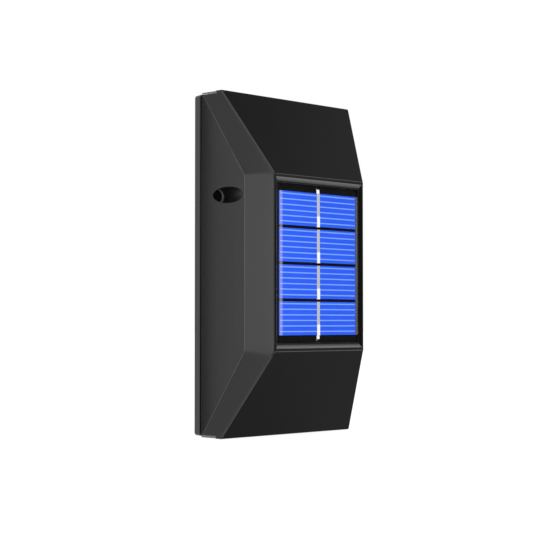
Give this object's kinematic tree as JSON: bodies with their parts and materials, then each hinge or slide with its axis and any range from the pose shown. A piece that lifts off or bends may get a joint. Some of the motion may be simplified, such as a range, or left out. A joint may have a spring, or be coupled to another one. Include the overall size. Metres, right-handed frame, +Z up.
{
  "type": "solar wall light",
  "caption": "Slim faceted solar wall light: a hollow body with slanted ends and sides on a flat back cover, a solar panel in its front window, and lenses that light the wall above and below.",
  "frame": {"origin": "the middle of the back cover's rear face, on the wall", "axes": "+Z up, +Y into the wall so that the light stands out towards -Y, +X to the right of a viewer who faces the light"},
  "size_m": [0.064, 0.03, 0.12],
  "materials": {
    "black_plastic": "fine satin texture, weatherproof black plastic",
    "seal_rubber": "soft black rubber",
    "lens_plastic": "frosted, lets light through",
    "clear_resin": "clear and glossy",
    "silicon": "blue crystalline cell with printed fingers",
    "tinned_ribbon": "tinned copper ribbon",
    "panel_laminate": "dark laminate",
    "foam_tape": "white foam tape",
    "board_laminate": "green lacquered laminate",
    "chip_black": "moulded black compound",
    "ferrite": "dark ferrite with a copper winding",
    "can_aluminium": "drawn can",
    "switch_plastic": "moulded switch case",
    "plunger_plastic": "white moulded plunger",
    "button_rubber": "grey soft rubber",
    "diode_white": "white case with a yellow phosphor face",
    "battery_sleeve": "shrink sleeve over a metal can",
    "holder_plastic": "moulded tray",
    "contact_nickel": "nickel-plated spring strip",
    "screw_steel": "zinc-plated",
    "wire_sleeve": "sleeved wire in red and black"
  },
  "bodies": {
    "light": {"back_cover": "black_plastic", "back_seal": "seal_rubber", "battery_cell": "battery_sleeve", "battery_holder": "holder_plastic", "battery_leads": "wire_sleeve", "board_screws": "screw_steel", "boost_inductor": "ferrite", "cell_ribbon_1": "tinned_ribbon", "cell_ribbon_2": "tinned_ribbon", "cell_ribbon_3": "tinned_ribbon", "cell_ribbon_4": "tinned_ribbon", "chip_resistors": "chip_black", "cover_screws": "screw_steel", "driver_chip": "chip_black", "end_ribbon": "tinned_ribbon", "holder_tape": "foam_tape", "housing": "black_plastic", "lower_led_board": "board_laminate", "lower_led_leads": "wire_sleeve", "lower_leds": "diode_white", "lower_lens": "lens_plastic", "main_board": "board_laminate", "negative_contact": "contact_nickel", "panel_board": "panel_laminate", "panel_leads": "wire_sleeve", "panel_resin": "clear_resin", "panel_tape": "foam_tape", "positive_contact": "contact_nickel", "rectifier_diode": "chip_black", "solar_cell_1": "silicon", "solar_cell_2": "silicon", "solar_cell_3": "silicon", "solar_cell_4": "silicon", "storage_capacitor": "can_aluminium", "switch_body": "switch_plastic", "upper_led_board": "board_laminate", "upper_led_leads": "wire_sleeve", "upper_leds": "diode_white", "upper_lens": "lens_plastic"},
    "button": {"switch_button": "button_rubber", "switch_plunger": "plunger_plastic"}
  },
  "joints": [
    {"name": "button_press", "type": "slide", "parent": "light", "child": "button", "axis": [0, -1, 0], "range_m": [0, 0.0015], "stiffness_N_per_m": 800}
  ]
}
